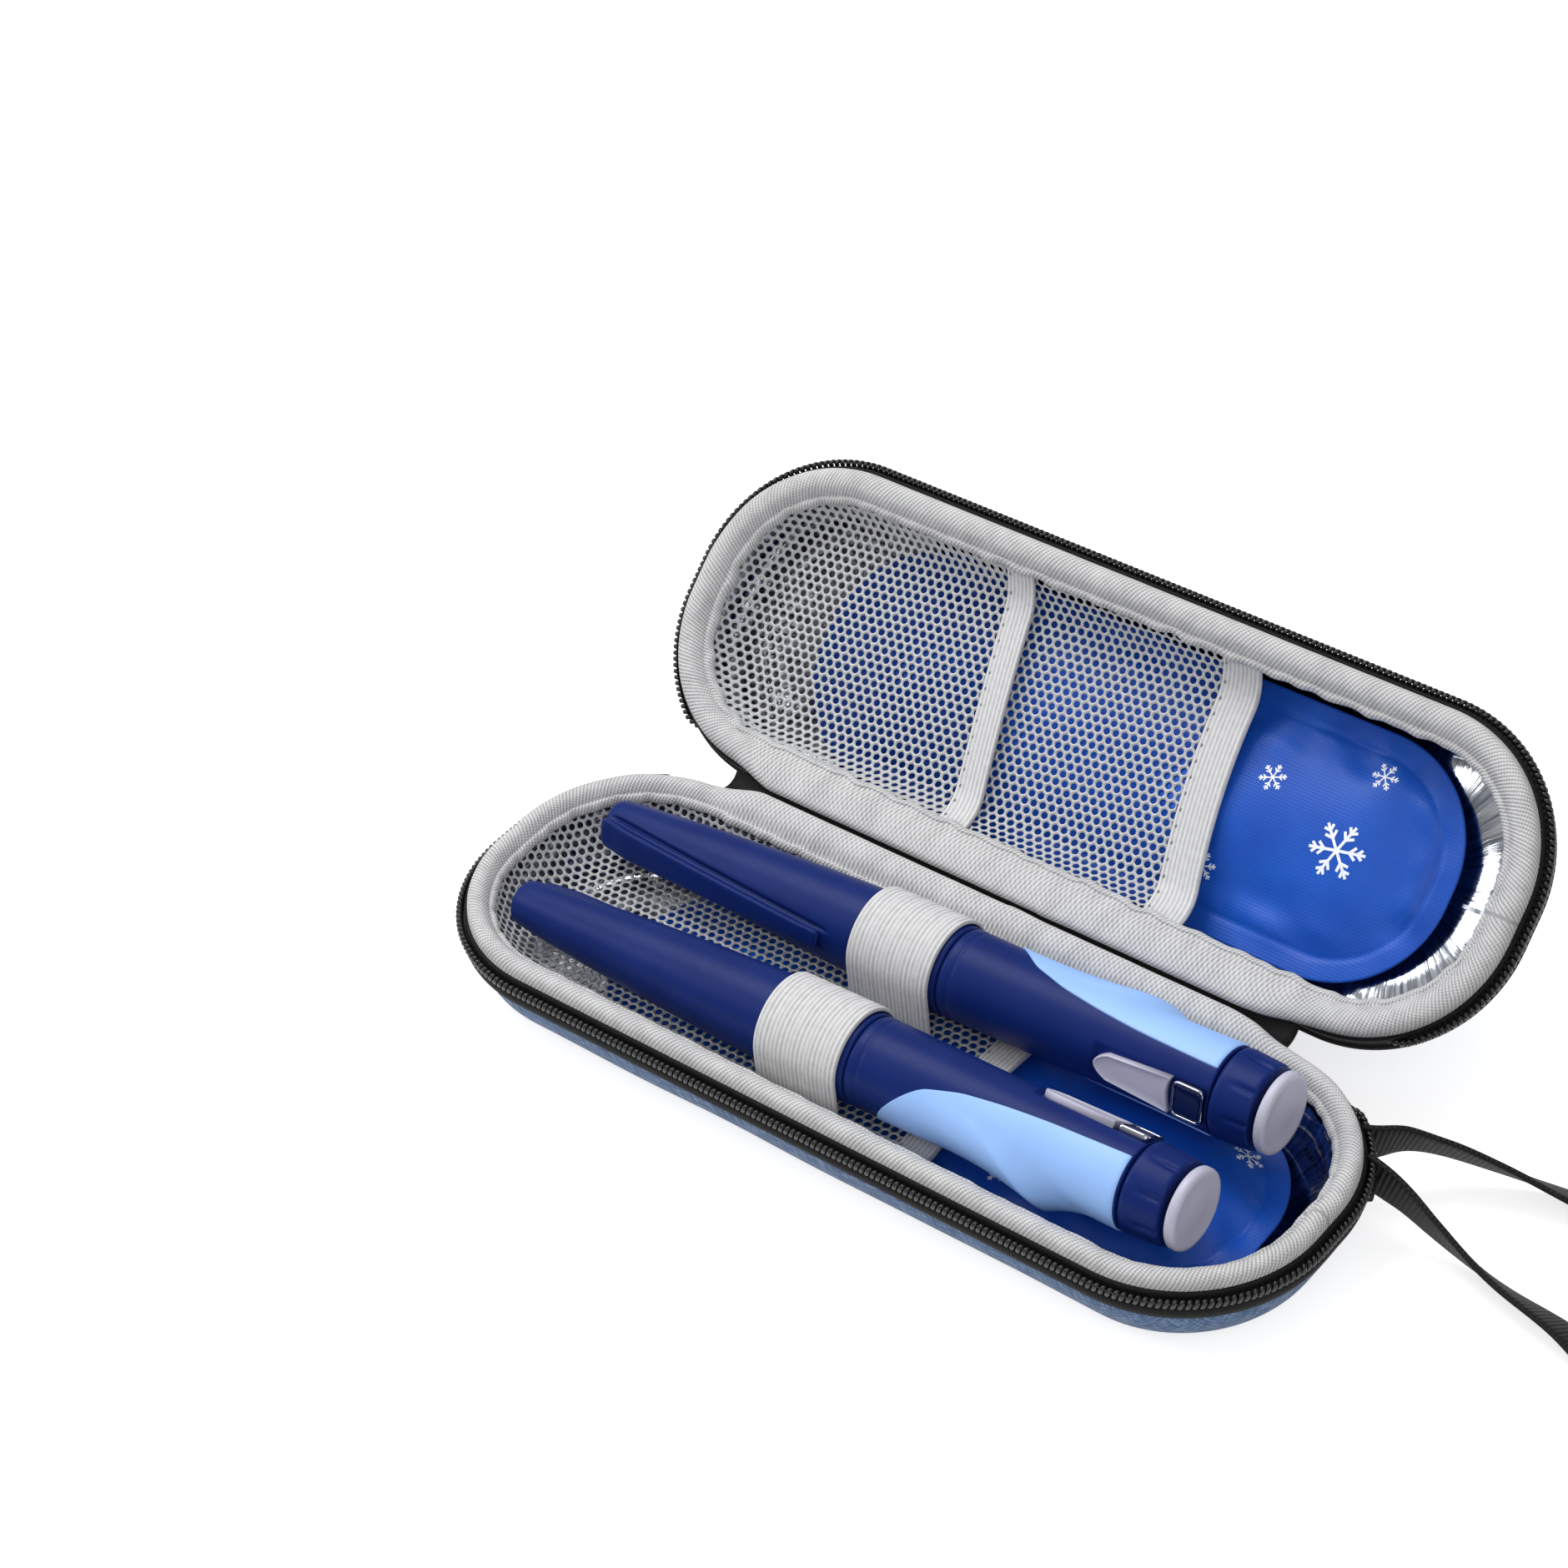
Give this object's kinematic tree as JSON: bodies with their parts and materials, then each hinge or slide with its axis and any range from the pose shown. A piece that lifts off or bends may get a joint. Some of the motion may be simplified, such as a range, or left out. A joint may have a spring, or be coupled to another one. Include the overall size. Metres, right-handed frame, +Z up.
{
  "type": "insulin cooling case",
  "caption": "Padded oval zip case lying open, with insulin pens in elastic loops, gel packs under mesh pockets, a foil lining and a wrist strap.",
  "frame": {"origin": "middle of the base's flat underside, on the table", "axes": "+X along the case to the wrist strap, +Y from the front to the hinge and lid, +Z up"},
  "size_m": [0.299, 0.1354, 0.0665],
  "materials": {
    "cover_fabric": "matte melange weave",
    "foam": "matte closed-cell foam",
    "foil": "crinkled silver film",
    "zip_black": "matte woven tape",
    "coil_nylon": "satin nylon teeth",
    "binding_fabric": "matte rolled knit",
    "mesh_fabric": "open knitted mesh",
    "elastic_fabric": "ribbed elastic",
    "pack_film": "woven nylon film, soft sheen",
    "gel": "soft gel",
    "pen_navy": "navy satin coat",
    "pen_grip": "light blue satin",
    "pen_lilac": "pearly lilac grey",
    "pen_chrome": "bright",
    "pen_lens": "clear dark lens",
    "pen_white": "matte",
    "cartridge_glass": "clear",
    "rod_steel": "brushed",
    "slider_metal": "black enamel",
    "webbing": "ribbed webbing"
  },
  "bodies": {
    "case_base": {"base_outer_cover": "cover_fabric", "base_foam_shell": "foam", "base_foil_liner": "foil", "base_rim_binding": "binding_fabric", "base_zip_tape": "zip_black", "base_zip_coil": "coil_nylon", "base_mesh_pocket": "mesh_fabric", "base_mesh_hem": "elastic_fabric", "pen_loop_front": "elastic_fabric", "pen_loop_back": "elastic_fabric", "hinge_strip": "zip_black", "strap_anchor": "zip_black", "wrist_strap": "webbing"},
    "case_lid": {"lid_outer_cover": "cover_fabric", "lid_foam_shell": "foam", "lid_foil_liner": "foil", "lid_rim_binding": "binding_fabric", "lid_zip_tape": "zip_black", "lid_zip_coil": "coil_nylon", "lid_mesh_deep": "mesh_fabric", "lid_mesh_deep_hem": "elastic_fabric", "lid_mesh_short": "mesh_fabric", "lid_mesh_short_hem": "elastic_fabric"},
    "slider": {"zip_slider": "slider_metal"},
    "pull": {"zip_pull": "slider_metal"},
    "base_pack": {"base_pack_back_film": "pack_film", "base_pack_gel": "gel", "base_pack_front_film": "pack_film"},
    "lid_pack": {"lid_pack_back_film": "pack_film", "lid_pack_gel": "gel", "lid_pack_front_film": "pack_film"},
    "front_pen": {"front_pen_barrel": "pen_navy", "front_pen_grip": "pen_grip", "front_pen_badge": "pen_lilac", "front_pen_window_bezel": "pen_chrome", "front_pen_dose_window": "pen_lens", "front_pen_cartridge_holder": "pen_white", "front_pen_cartridge": "cartridge_glass", "front_pen_piston_rod": "rod_steel"},
    "front_cap": {"front_pen_cap": "pen_navy", "front_pen_cap_clip": "pen_navy"},
    "front_drive": {"front_pen_drive_sleeve": "pen_white"},
    "front_dial": {"front_pen_number_sleeve": "pen_white", "front_pen_dose_knob": "pen_navy"},
    "front_button": {"front_pen_push_button": "pen_lilac"},
    "back_pen": {"back_pen_barrel": "pen_navy", "back_pen_grip": "pen_grip", "back_pen_badge": "pen_lilac", "back_pen_window_bezel": "pen_chrome", "back_pen_dose_window": "pen_lens", "back_pen_cartridge_holder": "pen_white", "back_pen_cartridge": "cartridge_glass", "back_pen_piston_rod": "rod_steel"},
    "back_cap": {"back_pen_cap": "pen_navy", "back_pen_cap_clip": "pen_navy"},
    "back_drive": {"back_pen_drive_sleeve": "pen_white"},
    "back_dial": {"back_pen_number_sleeve": "pen_white", "back_pen_dose_knob": "pen_navy"},
    "back_button": {"back_pen_push_button": "pen_lilac"}
  },
  "joints": [
    {"name": "lid_hinge", "type": "hinge", "parent": "case_base", "child": "case_lid", "pos_m": [0, 0.0363, 0.0225], "axis": [-1, 0, 0], "range_deg": [-138.5, 41]},
    {"name": "zip_slider_run", "type": "hinge", "parent": "case_base", "child": "slider", "pos_m": [-0.0697, 0.0037, 0.0167], "axis": [0, 0, 1], "range_deg": [0, 50]},
    {"name": "zip_pull_swing", "type": "hinge", "parent": "slider", "child": "pull", "pos_m": [-0.08703, 0.03143, 0.0128], "axis": [0.848, 0.5299, 0], "range_deg": [0, 95]},
    {"name": "base_pack_slide", "type": "slide", "parent": "case_base", "child": "base_pack", "axis": [1, 0, 0], "range_m": [0, 0.003]},
    {"name": "lid_pack_slide", "type": "slide", "parent": "case_lid", "child": "lid_pack", "axis": [1, 0, 0], "range_m": [0, 0.006]},
    {"name": "front_pen_lift", "type": "hinge", "parent": "case_base", "child": "front_pen", "pos_m": [-0.0842, -0.015, 0.0131], "axis": [0, -1, 0], "range_deg": [0, 6], "deforming": ["pen_loop_front"]},
    {"name": "front_cap_pull", "type": "slide", "parent": "front_pen", "child": "front_cap", "axis": [-0.9993, 0, -0.0366], "range_m": [0, 0.003]},
    {"name": "front_dose_travel", "type": "slide", "parent": "front_pen", "child": "front_drive", "axis": [0.9993, 0, 0.0366], "range_m": [0, 0.003]},
    {"name": "front_dose_turn", "type": "hinge", "parent": "front_drive", "child": "front_dial", "pos_m": [0.07269, -0.015, 0.02385], "axis": [0.9993, 0, 0.0366], "range_deg": [0, 120]},
    {"name": "front_button_press", "type": "slide", "parent": "front_dial", "child": "front_button", "axis": [-0.9993, 0, -0.0366], "range_m": [0, 0.001], "stiffness_N_per_m": 600, "springref_m": -0.001},
    {"name": "back_pen_lift", "type": "hinge", "parent": "case_base", "child": "back_pen", "pos_m": [-0.0842, 0.015, 0.0131], "axis": [0, -1, 0], "range_deg": [0, 6], "deforming": ["pen_loop_back"]},
    {"name": "back_cap_pull", "type": "slide", "parent": "back_pen", "child": "back_cap", "axis": [-0.9993, 0, -0.0366], "range_m": [0, 0.003]},
    {"name": "back_dose_travel", "type": "slide", "parent": "back_pen", "child": "back_drive", "axis": [0.9993, 0, 0.0366], "range_m": [0, 0.003]},
    {"name": "back_dose_turn", "type": "hinge", "parent": "back_drive", "child": "back_dial", "pos_m": [0.07269, 0.015, 0.02385], "axis": [0.9993, 0, 0.0366], "range_deg": [0, 120]},
    {"name": "back_button_press", "type": "slide", "parent": "back_dial", "child": "back_button", "axis": [-0.9993, 0, -0.0366], "range_m": [0, 0.001], "stiffness_N_per_m": 600, "springref_m": -0.001}
  ],
  "couplings": [
    {"joint": "front_dose_turn", "follows": "front_dose_travel", "rad_per_m": 698.13},
    {"joint": "back_dose_turn", "follows": "back_dose_travel", "rad_per_m": 698.13}
  ]
}
